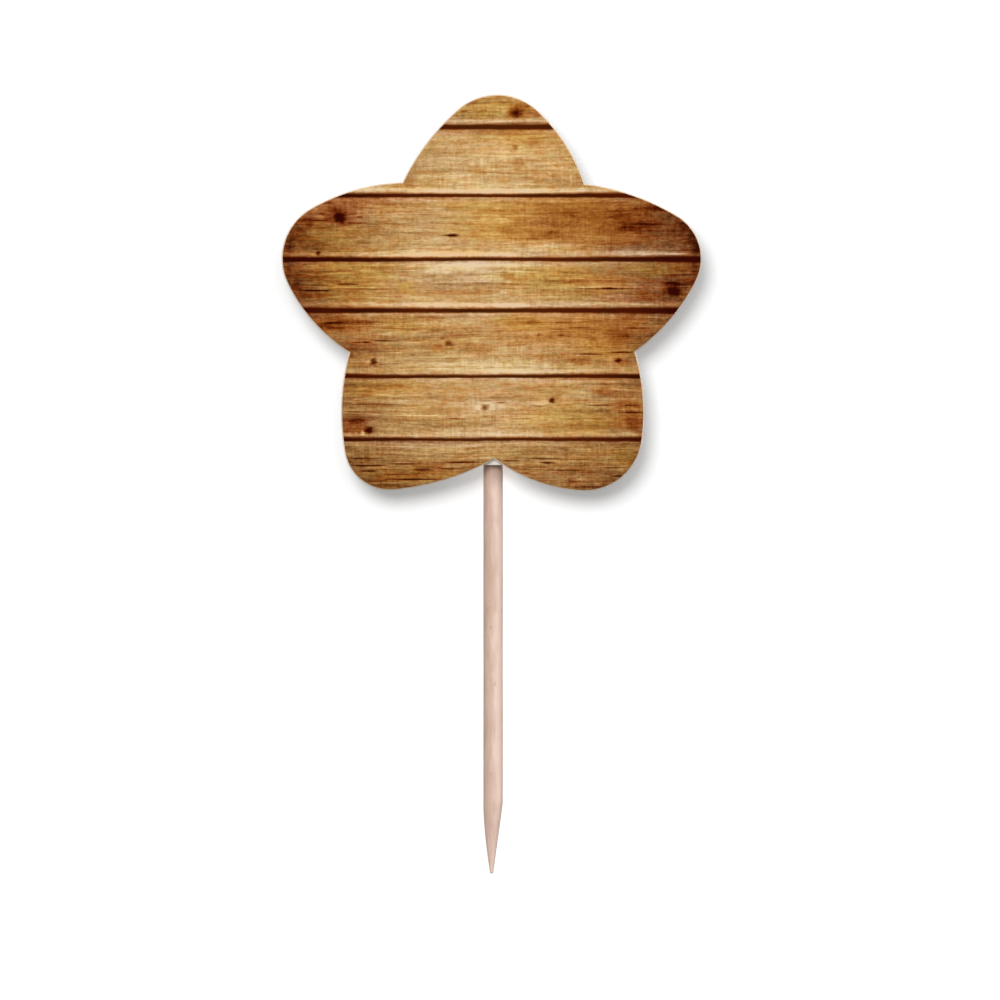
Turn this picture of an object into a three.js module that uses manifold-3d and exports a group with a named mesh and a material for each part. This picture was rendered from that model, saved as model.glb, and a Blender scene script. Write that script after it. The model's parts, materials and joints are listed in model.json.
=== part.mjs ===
// Cupcake pick: a plump five-lobed star of white card, faced with printed paper, and stuck to a
// round toothpick by a double-sided foam tab.
// Millimetres. The toothpick lies along the Z axis with its lower point at z = 0. The printed
// side looks towards -Y, and the layers behind it follow towards +Y.
import * as THREE from 'three';
import { mergeVertices } from 'three/addons/utils/BufferGeometryUtils.js';
import Module from 'manifold-3d';

const wasm = await Module();
wasm.setup();
const { degToRad } = THREE.MathUtils;

// Toothpick
const stickDiameter = 2;
const stickLength = 65;
const taperLength = 7.2;      // from the end of the wood to the full diameter
const noseDiameter = 0.4;     // the blunt end of each point
const taperFullness = 1.3;    // 1 is a straight cone, more is a fuller shoulder
const pointOffset = 0.16;     // the lower point was ground this far off the axis, to the left

// Foam tab
const tabWidth = 12;
const tabLength = 25;
const foamThickness = 1;
const adhesiveThickness = 0.1;
const heldLength = 24.1;      // the stretch of the toothpick that lies on the tab
const pressDepth = 0.3;       // how far the toothpick is pushed into the tab
const pressClearance = 0.02;
const tabReveal = 0.7;        // the tab's lower edge shows this far below the star's bottom notch

// Star layers
const cardThickness = 0.45;
const printThickness = 0.12;
const cardRim = 0.1;          // the cut card shows as a pale rim of this width round the print

// The star's print, as it would be if its five lobes were alike
const starRadius = 21.5;       // from the centre to the end of a lobe
const notchRadius = 15.1;      // from the centre to the notch between two lobes
const tipRadius = 5.4;        // round the end of a lobe
const flankRadius = 20;       // along the bulging sides of a lobe

// The drawn star is uneven. Lobe by lobe, anticlockwise as seen from the front, each size is
// given as a ratio to the one above, and the places are angles in degrees about the centre. A
// lobe starts at a notch, runs up its first flank, round its tip and down its last flank.
const lobes = [
  { notchAngle: -17.5, notch: 0.98, first: 0.95, tipAngle: 17, reach: 1, tip: 0.91, last: 1.175 },
  { notchAngle: 53.5, notch: 1.01, first: 0.875, tipAngle: 88.5, reach: 0.985, tip: 1.09, last: 1.125 },
  { notchAngle: 126, notch: 1.015, first: 0.975, tipAngle: 162.5, reach: 1.015, tip: 1.06, last: 0.85 },
  { notchAngle: 197.5, notch: 0.995, first: 1.15, tipAngle: 233, reach: 1.01, tip: 0.83, last: 1.275 },
  { notchAngle: 270.5, notch: 1, first: 0.8, tipAngle: 306, reach: 0.99, tip: 1.07, last: 1.05 },
];
const bottomNotch = notchRadius * lobes.at(-1).notch;

// Facets
const arcSteps = 14;
const stickSides = 32;
const taperSteps = 12;
const noseSteps = 4;

// Where the layers lie, from the toothpick forwards
const stickRadius = stickDiameter / 2;
const tabBack = -(stickRadius - pressDepth);
const foamBack = tabBack - adhesiveThickness;
const foamFront = foamBack - foamThickness;
const cardBack = foamFront - adhesiveThickness;
const cardFront = cardBack - cardThickness;
const tabBottom = stickLength - heldLength;
const starHeight = tabBottom + tabReveal + bottomNotch;

function polar(radius, angle) {
  return new THREE.Vector2(radius * Math.cos(angle), radius * Math.sin(angle));
}

// Centre of the arc of radius outer that passes through a notch and closes round the tip circle
// of radius inner, touching it. turn is 1 for a first flank, which has its centre on the left of
// the way from the notch to the tip, and -1 for a last flank.
function flankCentre(notch, tip, inner, outer, turn) {
  const span = notch.distanceTo(tip);
  const along = (outer ** 2 - (outer - inner) ** 2 + span ** 2) / (2 * span);
  const across = Math.sqrt(outer ** 2 - along ** 2);
  const ahead = tip.clone().sub(notch).divideScalar(span);
  const left = new THREE.Vector2(-ahead.y, ahead.x);
  return notch.clone().addScaledVector(ahead, along).addScaledVector(left, turn * across);
}

// The point nearest to a notch where the circles of its two flanks cross
function circlesMeet(a, b, notch) {
  const span = a.centre.distanceTo(b.centre);
  const along = (a.radius ** 2 - b.radius ** 2 + span ** 2) / (2 * span);
  const across = Math.sqrt(a.radius ** 2 - along ** 2);
  const ahead = b.centre.clone().sub(a.centre).divideScalar(span);
  const middle = a.centre.clone().addScaledVector(ahead, along);
  const crossings = [1, -1].map((side) =>
    middle.clone().add(new THREE.Vector2(-ahead.y, ahead.x).multiplyScalar(side * across)));
  crossings.sort((p, q) => p.distanceTo(notch) - q.distanceTo(notch));
  return crossings[0];
}

// Points along an anticlockwise arc, without its last one, which starts the next arc
function arcPoints(circle, from, to) {
  const start = from.clone().sub(circle.centre).angle();
  const end = to.clone().sub(circle.centre).angle();
  const sweep = THREE.MathUtils.euclideanModulo(end - start, 2 * Math.PI);
  return Array.from({ length: arcSteps }, (_, i) => {
    return polar(circle.radius, start + sweep * i / arcSteps).add(circle.centre);
  });
}

// The star's outline, grown outwards by a margin
function starOutline(margin) {
  const notches = lobes.map(({ notch, notchAngle }) =>
    polar(notchRadius * notch, degToRad(notchAngle)));
  const arcs = lobes.map((lobe, i) => {
    const radius = tipRadius * lobe.tip;
    const centre = polar(starRadius * lobe.reach - radius, degToRad(lobe.tipAngle));
    const flank = (notch, ratio, turn) => ({
      radius: flankRadius * ratio + margin,
      centre: flankCentre(notch, centre, radius, flankRadius * ratio, turn),
    });
    return {
      first: flank(notches[i], lobe.first, 1),
      tip: { radius: radius + margin, centre },
      last: flank(notches[(i + 1) % lobes.length], lobe.last, -1),
    };
  });
  const corners = arcs.map(({ first }, i) =>
    circlesMeet(arcs.at(i - 1).last, first, notches[i]));
  return arcs.flatMap(({ first, tip, last }, i) => {
    // A flank runs into the tip on the line from the flank's centre through the tip's centre
    const join = (flank) => tip.centre.clone().sub(flank.centre).setLength(flank.radius)
      .add(flank.centre);
    return [
      ...arcPoints(first, corners[i], join(first)),
      ...arcPoints(tip, join(first), join(last)),
      ...arcPoints(last, join(last), corners[(i + 1) % lobes.length]),
    ];
  });
}

// A flat layer of the star that stands upright, with its back at y = 0
function starLayer(margin, thickness) {
  const shape = new THREE.Shape(starOutline(margin));
  const geometry = new THREE.ExtrudeGeometry(shape, { depth: thickness, bevelEnabled: false });
  return geometry.rotateX(Math.PI / 2);
}

// Half of the toothpick's profile, from the end of a point to the full diameter. grow makes it
// fatter and longer, for the bed that the wood presses.
function pointProfile(grow) {
  const nose = noseDiameter / 2;
  const profile = [];
  for (let i = 0; i <= noseSteps; i++) {
    const angle = Math.PI / 2 * i / noseSteps;
    profile.push(new THREE.Vector2((nose + grow) * Math.sin(angle),
      nose - (nose + grow) * Math.cos(angle)));
  }
  for (let i = 1; i <= taperSteps; i++) {
    const share = i / taperSteps;
    const radius = nose + (stickRadius - nose) * (1 - (1 - share) ** taperFullness);
    profile.push(new THREE.Vector2(radius + grow, nose + (taperLength - nose) * share));
  }
  return profile;
}

// The toothpick, pointed at both ends, along Z
function stickGeometry(grow) {
  const lower = pointProfile(grow);
  const upper = lower.map(({ x, y }) => new THREE.Vector2(x, stickLength - y)).reverse();
  const geometry = new THREE.LatheGeometry([...lower, ...upper], stickSides);
  return offsetPoint(geometry.rotateX(Math.PI / 2));
}

// Shifts the lower point sideways, more towards its end
function offsetPoint(geometry) {
  const position = geometry.attributes.position;
  for (let i = 0; i < position.count; i++) {
    const share = THREE.MathUtils.clamp(position.getZ(i) / taperLength, 0, 1);
    position.setX(i, position.getX(i) - pointOffset * (1 - share ** 3));
  }
  return geometry;
}

function toSolid(geometry) {
  const bare = geometry.clone();
  bare.deleteAttribute('normal');
  bare.deleteAttribute('uv');
  const merged = mergeVertices(bare);
  return new wasm.Manifold(new wasm.Mesh({
    numProp: 3,
    vertProperties: new Float32Array(merged.attributes.position.array),
    triVerts: new Uint32Array(merged.index.array),
  }));
}

function toGeometry(solid) {
  const { vertProperties, triVerts } = solid.getMesh();
  const geometry = new THREE.BufferGeometry();
  geometry.setAttribute('position', new THREE.BufferAttribute(vertProperties, 3));
  geometry.setIndex(new THREE.BufferAttribute(triVerts, 1));
  geometry.computeVertexNormals();
  return geometry;
}

// A flat slab of the tab, from one depth forwards to another
function tabSlab(back, front) {
  return new THREE.BoxGeometry(tabWidth, back - front, tabLength)
    .translate(0, (back + front) / 2, tabBottom + tabLength / 2);
}

// The foam, dented where the toothpick presses the back adhesive into it
function foamGeometry() {
  const dent = toSolid(stickGeometry(pressClearance + adhesiveThickness));
  return toGeometry(toSolid(tabSlab(foamBack, foamFront)).subtract(dent));
}

// The back adhesive, which follows the dent and leaves a bed for the toothpick
function backAdhesiveGeometry() {
  const dent = toSolid(stickGeometry(pressClearance + adhesiveThickness));
  const bed = toSolid(stickGeometry(pressClearance));
  return toGeometry(toSolid(tabSlab(tabBack, foamBack)).add(dent)
    .intersect(toSolid(tabSlab(tabBack, foamFront))).subtract(bed));
}

function piece(name, geometry, color, roughness) {
  const material = new THREE.MeshStandardMaterial({ color, roughness, metalness: 0 });
  const mesh = new THREE.Mesh(geometry, material);
  mesh.name = name;
  return mesh;
}

const printedFace = piece('printed_face', starLayer(0, printThickness), 0xb98750, 0.5);
printedFace.position.set(0, cardFront, starHeight);

const starCard = piece('star_card', starLayer(cardRim, cardThickness), 0xf1ece1, 0.8);
starCard.position.set(0, cardBack, starHeight);

const frontAdhesive = piece('front_adhesive', tabSlab(foamFront, cardBack), 0xe8e2cf, 0.35);
const foamPad = piece('foam_pad', foamGeometry(), 0xf3f3f0, 0.9);
const backAdhesive = piece('back_adhesive', backAdhesiveGeometry(), 0xe8e2cf, 0.35);
const toothpick = piece('toothpick', stickGeometry(0), 0xdabca8, 0.7);

const group = new THREE.Group();
group.add(printedFace, starCard, frontAdhesive, foamPad, backAdhesive, toothpick);

export default group;
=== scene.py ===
import cmath
import json
import math

import bmesh
import bpy
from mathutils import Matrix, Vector, noise


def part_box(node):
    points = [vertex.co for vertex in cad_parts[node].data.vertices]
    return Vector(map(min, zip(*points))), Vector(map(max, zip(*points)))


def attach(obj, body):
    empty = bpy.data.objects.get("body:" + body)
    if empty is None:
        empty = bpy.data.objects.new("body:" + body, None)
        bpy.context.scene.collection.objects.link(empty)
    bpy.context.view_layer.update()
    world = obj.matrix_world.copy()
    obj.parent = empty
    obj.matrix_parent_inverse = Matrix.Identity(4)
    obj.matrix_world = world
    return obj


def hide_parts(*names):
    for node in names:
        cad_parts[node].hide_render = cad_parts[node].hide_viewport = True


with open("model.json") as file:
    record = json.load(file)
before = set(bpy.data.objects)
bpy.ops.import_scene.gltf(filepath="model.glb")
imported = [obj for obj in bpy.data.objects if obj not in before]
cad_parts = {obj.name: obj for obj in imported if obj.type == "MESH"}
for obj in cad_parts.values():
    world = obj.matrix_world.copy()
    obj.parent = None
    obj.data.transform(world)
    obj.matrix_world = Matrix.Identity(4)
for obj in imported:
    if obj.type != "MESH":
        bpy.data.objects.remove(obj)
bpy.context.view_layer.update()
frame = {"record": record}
scene = bpy.context.scene
mm = 0.001
frontFace = next(mount for mount in frame["record"]["mounts"] if mount["name"] == "front_face")
starHeight = frontFace["pos_m"][2] / mm   # the star's centre above the lower point


# Camera, straight on to the printed face
photo = {
    "size": 1000,          # pixels across and down
    "pixelsPerMm": 10,
    "axisColumn": 493.2,   # the toothpick's axis
    "pointRow": 874,       # the end of the lower point
}
lens = {"distance": 2000, "sensor": 36, "clipStart": 0.1, "clipEnd": 100}


def makeCamera():
    view = photo["size"] / photo["pixelsPerMm"]
    across = (photo["size"] / 2 - photo["axisColumn"]) / photo["pixelsPerMm"]
    up = (photo["pointRow"] - photo["size"] / 2) / photo["pixelsPerMm"]
    data = bpy.data.cameras.new("camera")
    data.sensor_width = lens["sensor"]
    data.lens = lens["sensor"] * lens["distance"] / view
    data.clip_start = lens["clipStart"]
    data.clip_end = lens["clipEnd"]
    camera = bpy.data.objects.new("camera", data)
    camera.location = (across * mm, frontFace["pos_m"][1] - lens["distance"] * mm, up * mm)
    camera.rotation_euler = (math.pi / 2, 0, 0)
    scene.collection.objects.link(camera)
    scene.camera = camera


scene.view_settings.view_transform = "Standard"
makeCamera()
print("camera in place")


# Shader nodes
class Wire:
    # One socket, with the operators that this script uses on it
    def __init__(self, look, socket):
        self.look = look
        self.socket = socket

    def __add__(self, other):
        return self.look.maths("ADD", self, other)

    def __sub__(self, other):
        return self.look.maths("SUBTRACT", self, other)

    def __rsub__(self, other):
        return self.look.maths("SUBTRACT", other, self)

    def __mul__(self, other):
        return self.look.maths("MULTIPLY", self, other)

    def __truediv__(self, other):
        return self.look.maths("DIVIDE", self, other)

    def __pow__(self, other):
        return self.look.maths("POWER", self, other)

    def __abs__(self):
        return self.look.maths("ABSOLUTE", self)

    __radd__ = __add__


class Look:
    # The nodes of a material or of the world
    def __init__(self, owner):
        owner.use_nodes = True
        self.owner = owner
        self.tree = owner.node_tree
        self.tree.nodes.clear()

    def node(self, kind, settings=None, links=None, output=0):
        made = self.tree.nodes.new(kind)
        for key, value in (settings or {}).items():
            if key == "stops":
                fillRamp(made.color_ramp, value)
            elif key == "interpolation":
                made.color_ramp.interpolation = value
            else:
                setattr(made, key, value)
        for key, value in (links or {}).items():
            if isinstance(value, Wire):
                self.tree.links.new(value.socket, made.inputs[key])
            else:
                made.inputs[key].default_value = value
        return Wire(self, made.outputs[output])

    def maths(self, operation, *values):
        return self.node("ShaderNodeMath", {"operation": operation}, dict(enumerate(values)))

    def vector(self, operation, *values, output=0):
        settings = {"operation": operation}
        return self.node("ShaderNodeVectorMath", settings, dict(enumerate(values)), output)

    def join(self, x, y, z):
        return self.node("ShaderNodeCombineXYZ", links={0: x, 1: y, 2: z})

    def split(self, vector):
        apart = self.node("ShaderNodeSeparateXYZ", links={0: vector}).socket.node
        return [Wire(self, socket) for socket in apart.outputs]

    def mix(self, factor, first, second):
        links = {0: factor, 6: first, 7: second}
        return self.node("ShaderNodeMix", {"data_type": "RGBA"}, links, 2)

    def step(self, value, low, high):
        # From 0 at low to 1 at high, softly. It stays in that range without clamp
        settings = {"interpolation_type": "SMOOTHSTEP", "clamp": False}
        return self.node("ShaderNodeMapRange", settings, {0: value, 1: low, 2: high})

    def ramp(self, value, stops, interpolation="LINEAR"):
        settings = {"stops": stops, "interpolation": interpolation}
        return self.node("ShaderNodeValToRGB", settings, {0: value})

    def place(self, origin=(0, 0, 0)):
        # The point on the surface in millimetres from an origin
        point = self.node("ShaderNodeTexCoord", output="Object")
        return self.vector("SUBTRACT", self.scaled(point, 1 / mm), origin)

    def scaled(self, vector, factor):
        return self.node("ShaderNodeVectorMath", {"operation": "SCALE"}, {0: vector, 3: factor})

    def grain(self, place, scale, detail=2, roughness=0.5):
        # Noise about 0, of nearly ±0.5, drawn out along an axis where its scale is small
        links = {"Vector": self.vector("MULTIPLY", place, scale), "Scale": 1,
                 "Detail": detail, "Roughness": roughness}
        return self.node("ShaderNodeTexNoise", links=links) - 0.5

    def bump(self, height, depth):
        return self.node("ShaderNodeBump", links={"Height": height, "Distance": depth * mm})

    def show(self, shader):
        kind = "World" if isinstance(self.owner, bpy.types.World) else "Material"
        output = self.tree.nodes.new("ShaderNodeOutput" + kind)
        self.tree.links.new(shader.socket, output.inputs["Surface"])
        return self.owner


def fillRamp(ramp, stops):
    while len(ramp.elements) < len(stops):
        ramp.elements.new(1)
    for element, (place, colour) in zip(ramp.elements, stops):
        element.position = place
        element.color = colour


def paint(red, green, blue):
    # A colour as an image editor gives it, turned into light
    def light(value):
        share = value / 255
        return share / 12.92 if share <= 0.04045 else ((share + 0.055) / 1.055) ** 2.4
    return (light(red), light(green), light(blue), 1)


def newLook(name):
    return Look(bpy.data.materials.new(name))


# World, lamps and the white sheet that the pick lies on
studio = {
    "ambient": 0.14,         # of the brightness of white paper in full light
    "sheetDepth": 1.05,      # just behind the toothpick
    "sheetSize": 400,
    "sheetWhite": 0.92,
    "sheetGlow": 0.26,       # lifts the sheet to white for the camera, and its shadow with it
}
lamps = {
    # direction of the light, its brightness on white paper that faces it, and its width in degrees
    "left": {"towards": (0.28, 1, -0.42), "bright": 0.64, "width": 30},
    "right": {"towards": (-0.2, 1, -0.38), "bright": 0.14, "width": 30},
    "side": {"towards": (-0.66, 0.34, -0.67), "bright": 0.4, "width": 20},
    "back": {"towards": (-0.3, -0.9, -0.3), "bright": 0.68, "width": 30},
    "rear": {"towards": (0.75, -0.5, -0.25), "bright": 0.35, "width": 30},
}


def makeWorld():
    world = bpy.data.worlds.new("studio")
    scene.world = world
    look = Look(world)
    rays = [look.node("ShaderNodeLightPath", output=name)
            for name in ("Is Camera Ray", "Is Glossy Ray", "Is Transmission Ray")]
    seen = look.maths("MAXIMUM", look.maths("MAXIMUM", rays[0], rays[1]), rays[2])
    ambient = look.node("ShaderNodeBackground", links={1: studio["ambient"]})
    white = look.node("ShaderNodeBackground", links={0: (1, 1, 1, 1), 1: 1})
    ambient.socket.node.inputs[0].default_value = (1, 1, 1, 1)
    look.show(look.node("ShaderNodeMixShader", links={0: seen, 1: ambient, 2: white}))


def makeLamp(name):
    facts = lamps[name]
    data = bpy.data.lights.new(name, "SUN")
    data.energy = facts["bright"] * math.pi
    data.angle = math.radians(facts["width"])
    lamp = bpy.data.objects.new(name, data)
    lamp.rotation_euler = Vector(facts["towards"]).to_track_quat("-Z", "Y").to_euler()
    scene.collection.objects.link(lamp)
    return lamp


def leaveOut(kind, lamp, obj):
    # The lamp doesn't light obj, or obj casts no shadow from it
    group = getattr(lamp.light_linking, kind + "_collection")
    if group is None:
        group = bpy.data.collections.new(lamp.name + kind)
        setattr(lamp.light_linking, kind + "_collection", group)
    group.objects.link(obj)
    group.collection_objects[-1].light_linking.link_state = "EXCLUDE"


def makeSheet():
    look = newLook("whiteSheet")
    white = look.node("ShaderNodeBsdfDiffuse", links={0: (studio["sheetWhite"],) * 3 + (1,)})
    camera = look.node("ShaderNodeLightPath", output="Is Camera Ray")
    glow = look.node("ShaderNodeEmission", links={1: camera * studio["sheetGlow"]})
    front = look.node("ShaderNodeAddShader", links={0: white, 1: glow})
    clear = look.node("ShaderNodeBsdfTransparent")
    behind = look.node("ShaderNodeNewGeometry", output="Backfacing")
    half = studio["sheetSize"] / 2 * mm
    depth = studio["sheetDepth"] * mm
    mesh = bmesh.new()
    corners = [(-half, -half), (half, -half), (half, half), (-half, half)]
    mesh.faces.new([mesh.verts.new((x, depth, z + starHeight * mm)) for x, z in corners])
    data = bpy.data.meshes.new("whiteSheet")
    mesh.to_mesh(data)
    mesh.free()
    sides = look.node("ShaderNodeMixShader", links={0: behind, 1: front, 2: clear})
    data.materials.append(look.show(sides))
    sheet = bpy.data.objects.new("whiteSheet", data)
    scene.collection.objects.link(sheet)
    for ray in ("diffuse", "glossy", "transmission", "shadow"):
        setattr(sheet, "visible_" + ray, False)
    return sheet


makeWorld()
lampObjects = {name: makeLamp(name) for name in lamps}
sheet = makeSheet()
for name in ("side", "rear"):
    leaveOut("receiver", lampObjects[name], sheet)
print("studio in place")


# Mesh helpers
def ringSolid(rings):
    # A closed skin through rings of points, with a flat end on the first and the last
    mesh = bmesh.new()
    rows = [[mesh.verts.new(point * mm) for point in ring] for ring in rings]
    for row, following in zip(rows, rows[1:]):
        for i in range(len(row)):
            j = (i + 1) % len(row)
            mesh.faces.new((row[i], row[j], following[j], following[i]))
    mesh.faces.new(rows[0])
    mesh.faces.new(rows[-1])
    return mesh


def blockSkin(stations, place):
    # The closed skin of a block with these stations along x, y and z, put where place() says
    mesh = bmesh.new()
    made = {}
    last = [len(row) - 1 for row in stations]

    def corner(index):
        if index not in made:
            point = place(*(row[i] for row, i in zip(stations, index)))
            made[index] = mesh.verts.new(point * mm)
        return made[index]

    for axis in range(3):
        first, second = [other for other in range(3) if other != axis]
        for end in (0, last[axis]):
            for i in range(last[first]):
                for j in range(last[second]):
                    square = []
                    for across, along in ((0, 0), (1, 0), (1, 1), (0, 1)):
                        index = [end] * 3
                        index[first] = i + across
                        index[second] = j + along
                        square.append(corner(tuple(index)))
                    mesh.faces.new(square)
    return mesh


def evenly(low, high, spacing):
    count = max(1, round((high - low) / spacing))
    return [low + (high - low) * i / count for i in range(count + 1)]


def addPiece(name, mesh, material, node, sharpAngle=40):
    bmesh.ops.recalc_face_normals(mesh, faces=mesh.faces)
    for face in mesh.faces:
        face.smooth = True
    for edge in mesh.edges:
        edge.smooth = edge.calc_face_angle(0) < math.radians(sharpAngle)
    data = bpy.data.meshes.new(name)
    mesh.to_mesh(data)
    mesh.free()
    data.materials.append(material)
    piece = bpy.data.objects.new(name, data)
    scene.collection.objects.link(piece)
    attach(piece, "root")
    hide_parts(node)
    print(name, len(data.vertices), "points")
    return piece


# The star's outline. Lobe by lobe, anticlockwise, sizes are ratios to those of the even star
star = {
    "radius": 21.5,        # to the end of a lobe
    "notchRadius": 15.1,
    "tipRadius": 5.4,
    "flankRadius": 20,
    "arcSteps": 40,
    "fibreScale": (4, 25, 4),    # of the ragged edge
    "lobes": [
        {"notchAngle": -17.5, "notch": 0.98, "first": 0.95,
         "tipAngle": 17, "reach": 1, "tip": 0.91, "last": 1.175},
        {"notchAngle": 53.5, "notch": 1.01, "first": 0.875,
         "tipAngle": 88.5, "reach": 0.985, "tip": 1.09, "last": 1.125},
        {"notchAngle": 126, "notch": 1.015, "first": 0.975,
         "tipAngle": 162.5, "reach": 1.015, "tip": 1.06, "last": 0.85},
        {"notchAngle": 197.5, "notch": 0.995, "first": 1.15,
         "tipAngle": 233, "reach": 1.01, "tip": 0.83, "last": 1.275},
        {"notchAngle": 270.5, "notch": 1, "first": 0.8,
         "tipAngle": 306, "reach": 0.99, "tip": 1.07, "last": 1.05},
    ],
}


def polar(radius, degrees):
    return cmath.rect(radius, math.radians(degrees))


def flankCentre(notch, tip, inner, outer, turn):
    # Centre of the arc through a notch that closes round the tip's circle, touching it
    way = tip - notch
    span = abs(way)
    along = (outer ** 2 - (outer - inner) ** 2 + span ** 2) / (2 * span)
    across = math.sqrt(outer ** 2 - along ** 2)
    return notch + way / span * complex(along, turn * across)


def circlesMeet(first, second, notch):
    # Where two flanks cross, at the end near the notch
    (a, radiusA), (b, radiusB) = first, second
    way = b - a
    span = abs(way)
    along = (radiusA ** 2 - radiusB ** 2 + span ** 2) / (2 * span)
    across = math.sqrt(radiusA ** 2 - along ** 2)
    crossings = [a + way / span * complex(along, side * across) for side in (1, -1)]
    return min(crossings, key=lambda point: abs(point - notch))


def arcPoints(circle, start, end):
    # Points along an anticlockwise arc, without its last one
    centre, radius = circle
    turn = cmath.phase(start - centre)
    sweep = (cmath.phase(end - centre) - turn) % (2 * math.pi)
    steps = star["arcSteps"]
    return [centre + cmath.rect(radius, turn + sweep * i / steps) for i in range(steps)]


def starOutline(margin):
    # The outline grown outwards by a margin, as complex numbers about the star's centre
    lobes = star["lobes"]
    notches = [polar(star["notchRadius"] * lobe["notch"], lobe["notchAngle"]) for lobe in lobes]
    arcs = []
    for i, lobe in enumerate(lobes):
        radius = star["tipRadius"] * lobe["tip"]
        centre = polar(star["radius"] * lobe["reach"] - radius, lobe["tipAngle"])
        firstRadius = star["flankRadius"] * lobe["first"]
        lastRadius = star["flankRadius"] * lobe["last"]
        first = flankCentre(notches[i], centre, radius, firstRadius, 1)
        last = flankCentre(notches[(i + 1) % len(lobes)], centre, radius, lastRadius, -1)
        arcs.append(((first, firstRadius + margin), (centre, radius + margin),
                     (last, lastRadius + margin)))
    corners = [circlesMeet(arcs[i - 1][2], arcs[i][0], notches[i]) for i in range(len(lobes))]
    points = []
    for i, (first, tip, last) in enumerate(arcs):
        # A flank runs into the tip on the line from the flank's centre through the tip's
        joins = [centre + (tip[0] - centre) / abs(tip[0] - centre) * radius
                 for centre, radius in (first, last)]
        points += arcPoints(first, corners[i], joins[0])
        points += arcPoints(tip, joins[0], joins[1])
        points += arcPoints(last, joins[1], corners[(i + 1) % len(lobes)])
    return points


def starRing(margin, depth, ragged=0):
    # One ring of a star layer at a depth y, its cut edge ragged by so much
    ring = []
    for point in starOutline(margin):
        if ragged:
            place = Vector((point.real, depth, point.imag)) * Vector(star["fibreScale"])
            fibre = noise.noise(place)
            point += point / abs(point) * fibre * ragged
        ring.append(Vector((point.real, depth, point.imag + starHeight)))
    return ring


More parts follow.
